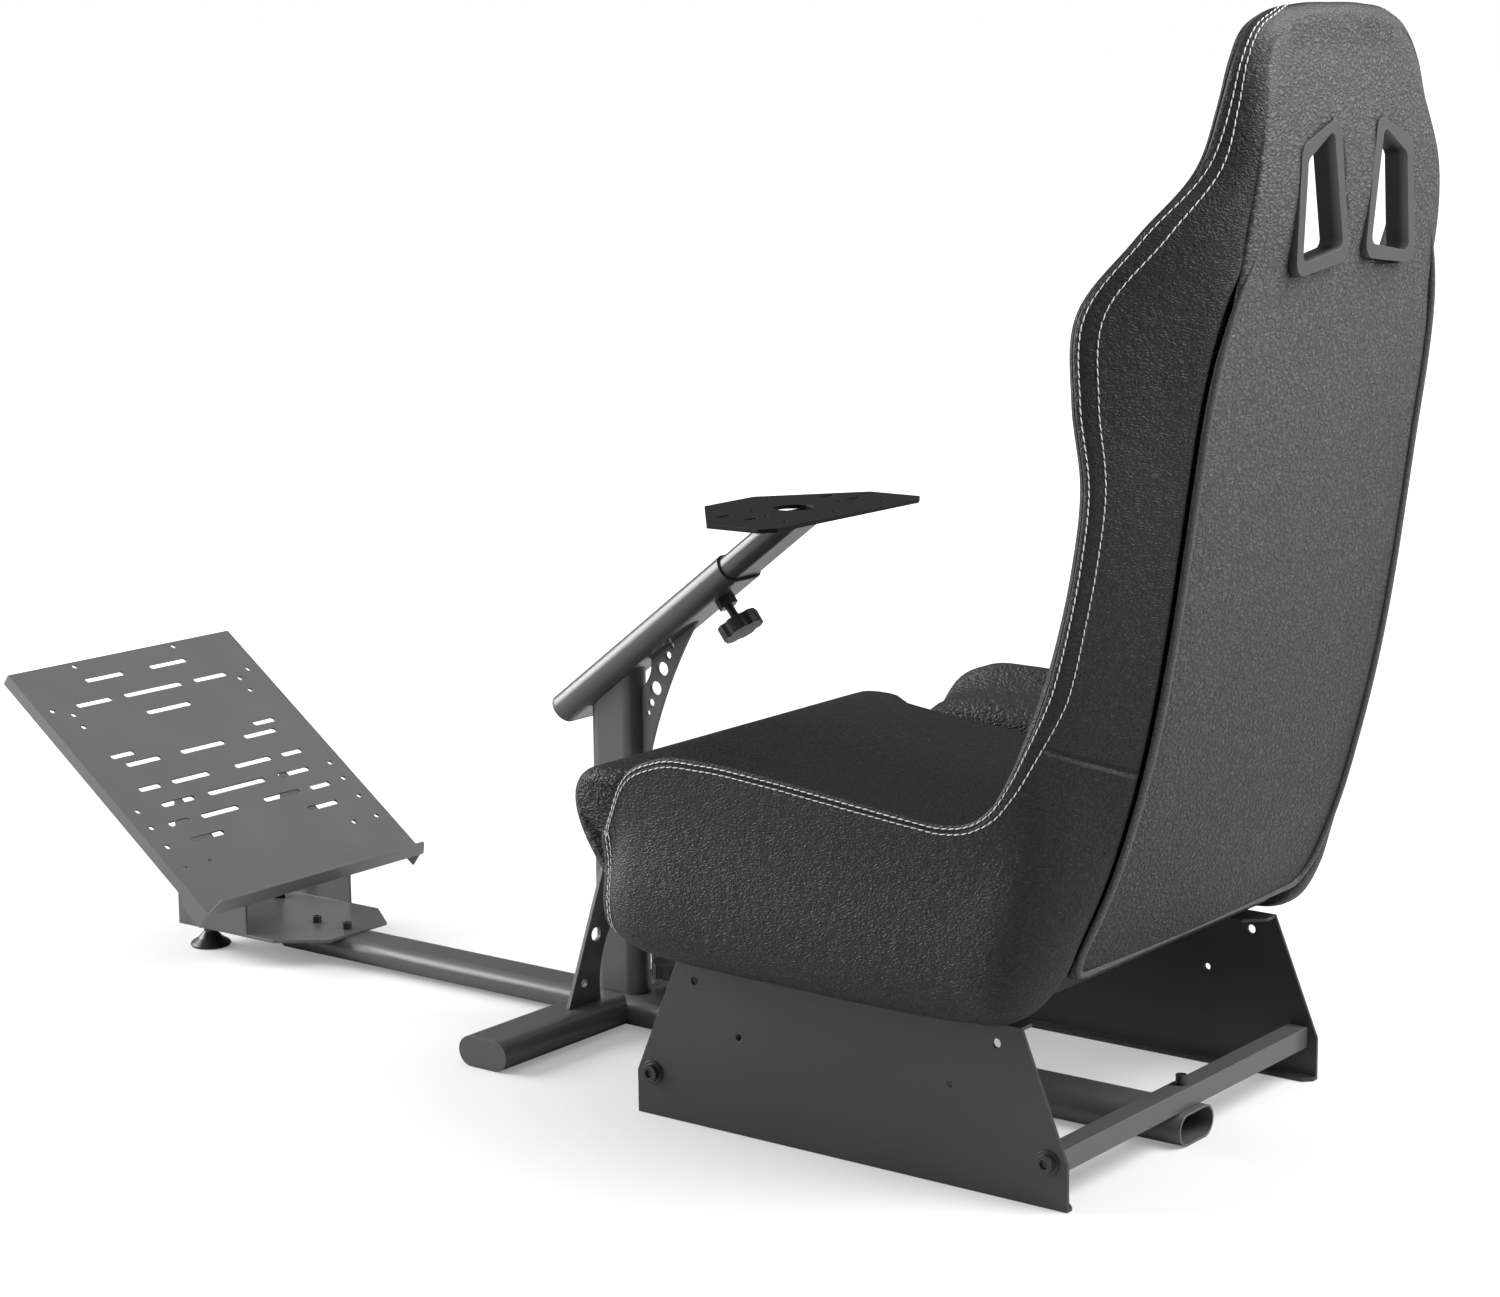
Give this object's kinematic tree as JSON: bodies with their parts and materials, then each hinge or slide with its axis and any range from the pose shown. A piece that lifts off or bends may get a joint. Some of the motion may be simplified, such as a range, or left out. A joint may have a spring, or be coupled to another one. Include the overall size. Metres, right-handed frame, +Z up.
{
  "type": "sim racing cockpit",
  "caption": "Driving simulator cockpit: bucket seat on side plates, flat-oval tube frame, telescopic wheel column and a sliding slotted pedal deck.",
  "frame": {"origin": "on the floor under the middle of the overall box", "axes": "+X to the driver's right, +Y the way the driver faces, +Z up"},
  "size_m": [0.5429, 1.52, 0.9893],
  "materials": {
    "frame_paint": "satin dark powder coat",
    "side_plate_paint": "matte dark grey powder coat",
    "deck_paint": "satin mid grey powder coat",
    "wheel_plate_paint": "matte black powder coat",
    "cap_plastic": "moulded grey plastic",
    "black_hardware": "black oxide",
    "knob_plastic": "moulded black plastic",
    "seat_leather": "grained dark leatherette",
    "back_leather": "grained charcoal leatherette",
    "bezel_plastic": "moulded dark plastic"
  },
  "bodies": {
    "frame": {"main_floor_tube": "frame_paint", "cross_foot_left": "frame_paint", "cross_foot_right": "frame_paint", "cross_foot_caps": "cap_plastic", "post": "frame_paint", "post_brace_left": "frame_paint", "post_brace_right": "frame_paint", "column_outer_tube": "frame_paint", "column_end_cap": "cap_plastic", "column_web": "frame_paint", "column_boss": "black_hardware", "floor_tube_boss": "black_hardware", "seat_plate_left": "side_plate_paint", "seat_plate_right": "side_plate_paint", "rear_cross_bar": "frame_paint", "front_cross_bar": "frame_paint", "seat_plate_bolts": "black_hardware", "cross_bar_bolts": "black_hardware", "seat_side_left": "seat_leather", "seat_side_right": "seat_leather", "seat_cushion": "seat_leather", "seat_back_cushion": "seat_leather", "seat_back_panel": "back_leather", "harness_bezel_left": "bezel_plastic", "harness_bezel_right": "bezel_plastic"},
    "wheel_mount": {"column_inner_tube": "frame_paint", "wheel_plate": "wheel_plate_paint"},
    "column_clamp": {"column_knob": "knob_plastic"},
    "pedal_deck": {"pedal_tube": "frame_paint", "pedal_bracket": "deck_paint", "pedal_plate": "deck_paint", "pedal_bracket_bolts": "black_hardware"},
    "pedal_clamp": {"floor_tube_knob": "knob_plastic"},
    "foot_left": {"pedal_foot_left": "knob_plastic"},
    "foot_right": {"pedal_foot_right": "knob_plastic"}
  },
  "joints": [
    {"name": "column_slide", "type": "slide", "parent": "frame", "child": "wheel_mount", "axis": [0, -0.7955, 0.606], "range_m": [-0.05, 0.08]},
    {"name": "column_knob_turn", "type": "hinge", "parent": "frame", "child": "column_clamp", "pos_m": [0, -0.11905, 0.41416], "axis": [0, -0.606, -0.7955], "continuous": true},
    {"name": "pedal_slide", "type": "slide", "parent": "frame", "child": "pedal_deck", "axis": [0, 1, 0], "range_m": [-0.15, 0.1]},
    {"name": "pedal_knob_turn", "type": "hinge", "parent": "frame", "child": "pedal_clamp", "pos_m": [0, -0.03, 0.06], "axis": [0, 0, 1], "continuous": true},
    {"name": "foot_left_turn", "type": "hinge", "parent": "pedal_deck", "child": "foot_left", "pos_m": [-0.052, 0.572, 0.02], "axis": [0, 0, 1], "continuous": true},
    {"name": "foot_right_turn", "type": "hinge", "parent": "pedal_deck", "child": "foot_right", "pos_m": [0.052, 0.572, 0.02], "axis": [0, 0, 1], "continuous": true}
  ]
}
